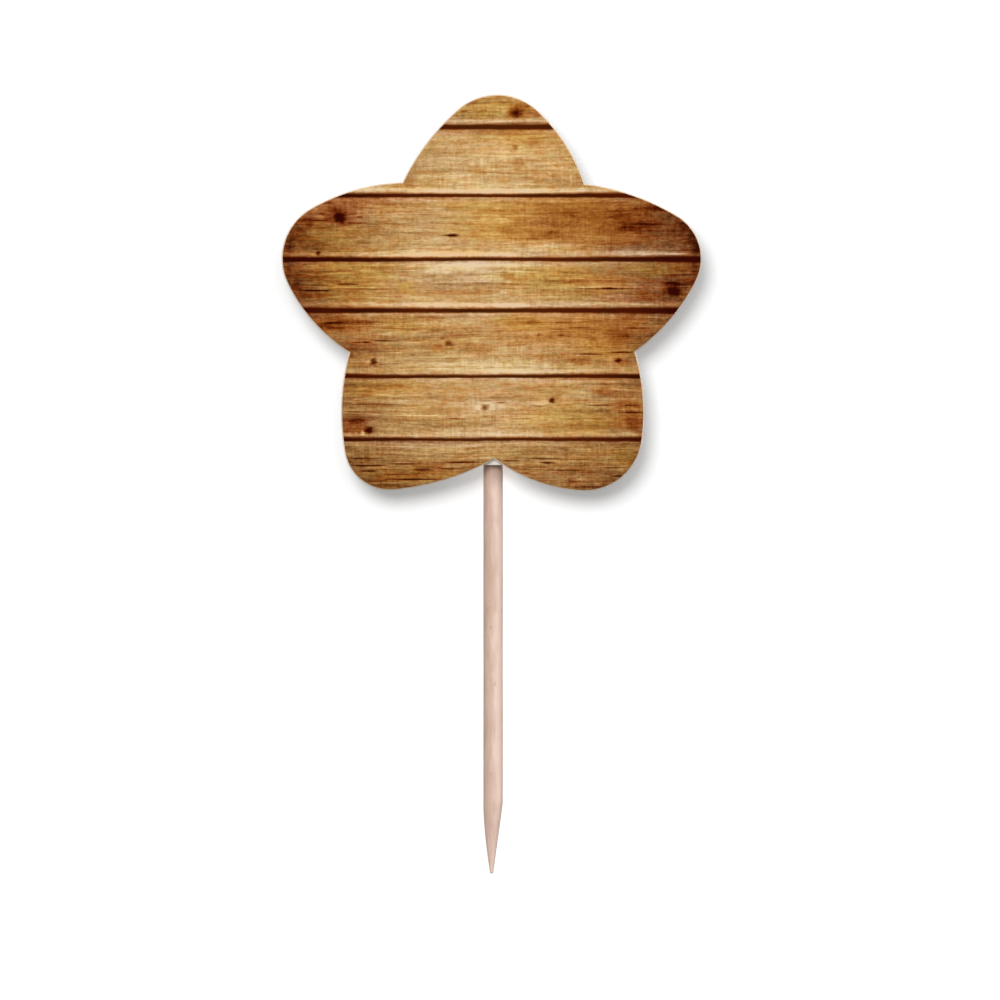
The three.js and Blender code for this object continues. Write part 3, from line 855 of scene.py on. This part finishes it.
# Toothpick
stick = {
    "diameter": 2,
    "length": 65,
    "taper": 7.2,
    "nose": 0.4,
    "fullness": 1.3,
    "offset": 0.16,       # of the lower point, to the left
    "sides": 72,
    "tabBottom": 40.9,
    "soiled": (-3.2, 0.4),    # from there up to the tab the front is darkened by a painted shadow of the tab
    "fibres": 0.012,      # how deep they are, as a share of the radius
    "dents": 0.01,
    "facets": 0.05,       # cut at the points
    "spacing": 0.4,       # of the rings of points, and near the points of the wood
    "fineSpacing": 0.1,
    # pale: the wood's pale grain, and also the colour of its painted highlights
    "pale": (242, 214, 197),
    "pink": (220, 185, 171),
    "tan": (212, 180, 157),
    # dark: the pores, and also the painted shadow below the tab
    "dark": (176, 140, 120),
}


def stickRadius(z):
    # The radius at a height, and nothing past the ends
    nose = stick["nose"] / 2
    end = min(z, stick["length"] - z)
    if end <= 0:
        return 0
    if end < nose:
        return math.sqrt(nose ** 2 - (nose - end) ** 2)
    share = min(1, (end - nose) / (stick["taper"] - nose))
    return nose + (stick["diameter"] / 2 - nose) * (1 - (1 - share) ** stick["fullness"])


def stickShift(z):
    share = min(1, max(0, z / stick["taper"]))
    return -stick["offset"] * (1 - share ** 3)


def stickLook():
    look = newLook("birch")
    point = look.place()
    x, y, z = look.split(point)
    fibres = look.grain(point, (7, 7, 0.35), 4, 0.6)
    threads = look.grain(point, (14, 14, 0.9), 2)
    patches = look.grain(point, (0.9, 0.9, 0.28), 3)
    blush = look.grain(look.vector("ADD", point, (7, 3, 11)), (0.8, 0.8, 0.22), 2)
    flecks = look.grain(look.vector("ADD", point, (3, 9, 5)), (2.2, 2.2, 1.1), 2)
    # Painted highlight: the toothpick turns paler towards its right side, where the light falls
    paintedRightHighlight = look.step(x + patches * 0.7, -0.35, 0.75)
    # Painted highlight: paler towards the lower point
    paintedPointHighlight = 1 - look.step(z, 1, 7)
    base = look.mix(look.step(blush, -0.15, 0.15), paint(*stick["tan"]), paint(*stick["pink"]))
    # The pale mix holds the wood's own pale patches and fibres and the painted highlights
    pale = look.step(patches * 0.8 + fibres * 0.5 + paintedRightHighlight * 0.38 + paintedPointHighlight * 0.2, -0.15, 0.42)
    colour = look.mix(pale, base, paint(*stick["pale"]))
    # Painted shadow of the foam tab on the front of the toothpick, from below the tab up to it
    paintedTabShadow = look.step(z, *[stick["tabBottom"] + rise for rise in stick["soiled"]])
    paintedTabShadow = paintedTabShadow * (1 - look.step(y, -0.6, 0.3))
    poresAndPaintedShadow = look.step(threads, 0.12, 0.3) * 0.35 + look.step(flecks, 0.16, 0.3) * 0.4
    # The dark colour takes both the pores and the painted shadow of the tab
    poresAndPaintedShadow = poresAndPaintedShadow + paintedTabShadow * 0.45
    colour = look.mix(poresAndPaintedShadow, colour, paint(*stick["dark"]))
    return look.show(look.node("ShaderNodeBsdfPrincipled", links={
        "Base Color": colour, "Roughness": 0.7 + fibres * 0.3, "Specular IOR Level": 0.25,
        "Normal": look.bump(fibres + threads * 0.5, 0.03)}))


def makeStick():
    length, coarse, fine = stick["length"], stick["spacing"], stick["fineSpacing"]
    shoulder = stick["taper"] + 1
    nose = [0.02, 0.05, 0.1, 0.15]
    heights = nose + evenly(0.2, shoulder, fine)
    heights += evenly(shoulder + coarse, length - shoulder - coarse, coarse)
    heights += evenly(length - shoulder, length - 0.2, fine) + [length - z for z in nose[::-1]]
    rings = []
    for z in heights:
        ring = []
        for i in range(stick["sides"]):
            angle = 2 * math.pi * i / stick["sides"]
            side, front = math.cos(angle), math.sin(angle)
            fibre = noise.noise(Vector((side * 5, front * 5, z * 0.12)))
            dent = noise.noise(Vector((side * 1.2, front * 1.2, z * 0.3 + 40)))
            pointed = 1 - min(1, min(z, length - z) / stick["taper"])
            facet = max(0, math.cos(4 * angle + z * 0.4)) * pointed * stick["facets"]
            worn = stick["fibres"] * (1 + fibre) + stick["dents"] * (1 + dent) * (1 + 2 * pointed)
            radius = stickRadius(z) * (1 - worn - facet)
            ring.append(Vector((stickShift(z) + radius * side, radius * front, z)))
        rings.append(ring)
    return addPiece("birchToothpick", ringSolid(rings), stickLook(), "toothpick", 60)


stickPiece = makeStick()
leaveOut("receiver", lampObjects["rear"], stickPiece)
for name in ("left", "right"):
    leaveOut("blocker", lampObjects[name], stickPiece)


# Foam tab, with a sheet of adhesive on each side
tab = {
    "adhesive": 0.1,
    "clearance": 0.02,
    "shoulder": 0.12,     # how softly the sheet turns into the bed of the toothpick
    "bedHalf": 1.4,       # the strip round the toothpick, with points closer together
    "bedSpacing": 0.05,
    "spacing": 0.16,
    "wave": 0.03,         # of the cut edges of the adhesive
    "belly": 0.05,        # how far the foam's cut sides sink in
    "cellSize": 0.22,
    "cellReach": 0.75,
    "cellDepth": 0.05,
    "glueLayers": 2,
    "foamLayers": 7,
    "foamWhite": (253, 249, 243),
    "foamShade": (240, 234, 226),
    "glue": (243, 238, 229),
    "glueShade": (234, 227, 216),
    "dust": (204, 195, 182),    # painted shade along the cut edges
}


def adhesiveLook():
    look = newLook("adhesive")
    point = look.place()
    x, _, z = look.split(point)
    cloud = look.grain(point, (0.4, 0.4, 0.4), 2)
    bubbles = look.grain(point, (4, 4, 4), 2)
    shade = look.step(cloud * 0.5 + bubbles * 0.4, -0.35, 0.2)
    low, high = [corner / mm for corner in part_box("back_adhesive")]
    end = look.maths("MINIMUM", z - low.z, high.z - z)
    edge = look.maths("MINIMUM", end, high.x - abs(x))
    # Painted shade: the adhesive darkens towards its cut edges
    dust = 1 - look.step(edge + bubbles * 0.3, 0, 0.6)
    colour = look.mix(shade, paint(*tab["glueShade"]), paint(*tab["glue"]))
    return look.show(look.node("ShaderNodeBsdfPrincipled", links={
        "Base Color": look.mix(dust * 0.8, colour, paint(*tab["dust"])),
        "Roughness": 0.35 + bubbles * 0.3, "Specular IOR Level": 0.5,
        "Normal": look.bump(bubbles, 0.01)}))


def foamLook():
    look = newLook("whiteFoam")
    point = look.place()
    links = {"Vector": point, "Scale": 1 / tab["cellSize"]}
    cells = look.node("ShaderNodeTexVoronoi", links=links)
    shade = look.step(cells, 0.05, 0.6)
    return look.show(look.node("ShaderNodeBsdfPrincipled", links={
        "Base Color": look.mix(shade, paint(*tab["foamShade"]), paint(*tab["foamWhite"])),
        "Roughness": 0.85 + shade * 0.1, "Specular IOR Level": 0.3,
        "Normal": look.bump(cells, 0.04)}))


def tabStations(node, layers):
    low, high = [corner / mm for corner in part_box(node)]
    near, fine = tab["bedHalf"], tab["bedSpacing"]
    xs = evenly(low.x, -near, tab["spacing"]) + evenly(-near + fine, near - fine, fine)
    xs += evenly(near, high.x, tab["spacing"])
    shares = [i / layers for i in range(layers + 1)]
    return xs, shares, evenly(low.z, high.z, tab["spacing"])


def pressed(flat, x, z, grow):
    # The depth of a sheet that would lie at y = flat, where the toothpick presses it forwards
    radius = stickRadius(z)
    if radius == 0:
        return flat
    radius += tab["clearance"] + grow
    hollow = math.sqrt(max(0, radius ** 2 - (x - stickShift(z)) ** 2))
    soft = max(0, tab["shoulder"] - abs(hollow + flat)) / tab["shoulder"]
    return -(max(hollow, -flat) + soft ** 2 * tab["shoulder"] / 4)


def atEnd(value, low, high):
    return min(abs(value - low), abs(value - high)) < 1e-4


def wavyEdge(x, z, low, high):
    # Blade-cut edges are never quite straight
    share = tab["wave"] * noise.noise(Vector((x * 0.6, 3, z * 0.6)))
    if atEnd(x, low.x, high.x):
        x += share
    if atEnd(z, low.z, high.z):
        z += share
    return x, z


def addTabPiece(name, layers, place, material, node):
    mesh = blockSkin(tabStations(node, layers), place)
    piece = addPiece(name, mesh, material, node)
    leaveOut("blocker", lampObjects["right"], piece)
    return piece


def makeTab():
    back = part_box("back_adhesive")[1].y / mm
    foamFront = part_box("foam_pad")[0].y / mm
    low, high = [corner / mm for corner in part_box("front_adhesive")]

    def backPlace(x, share, z):
        bentX, bentZ = wavyEdge(x, z, low, high)
        outside = pressed(back, x, z, 0)
        inside = pressed(back - tab["adhesive"], x, z, tab["adhesive"])
        return Vector((bentX, outside + (inside - outside) * share, bentZ))

    def foamPlace(x, share, z):
        foamBack = pressed(back - tab["adhesive"], x, z, tab["adhesive"])
        point = Vector((x, foamFront + (foamBack - foamFront) * share, z))
        inset = Vector((0, 0, 0))
        if 0 < share < 1:
            distances = noise.voronoi(point / tab["cellSize"])[0]
            pit = max(0, 1 - distances[0] / tab["cellReach"]) * tab["cellDepth"]
            belly = tab["belly"] * math.sin(math.pi * share)
            if atEnd(x, low.x, high.x):
                inset.x = -math.copysign(pit + belly, x)
            if atEnd(z, low.z, high.z):
                inset.z = -math.copysign(pit + belly, z - (low.z + high.z) / 2)
        return point + inset

    def frontPlace(x, share, z):
        bentX, bentZ = wavyEdge(x, z, low, high)
        return Vector((bentX, foamFront + (low.y - foamFront) * share, bentZ))

    glue = adhesiveLook()
    layers = tab["glueLayers"]
    addTabPiece("backAdhesive", layers, backPlace, glue, "back_adhesive")
    foam = addTabPiece("foamCore", tab["foamLayers"], foamPlace, foamLook(), "foam_pad")
    addTabPiece("frontAdhesive", layers, frontPlace, glue, "front_adhesive")


makeTab()
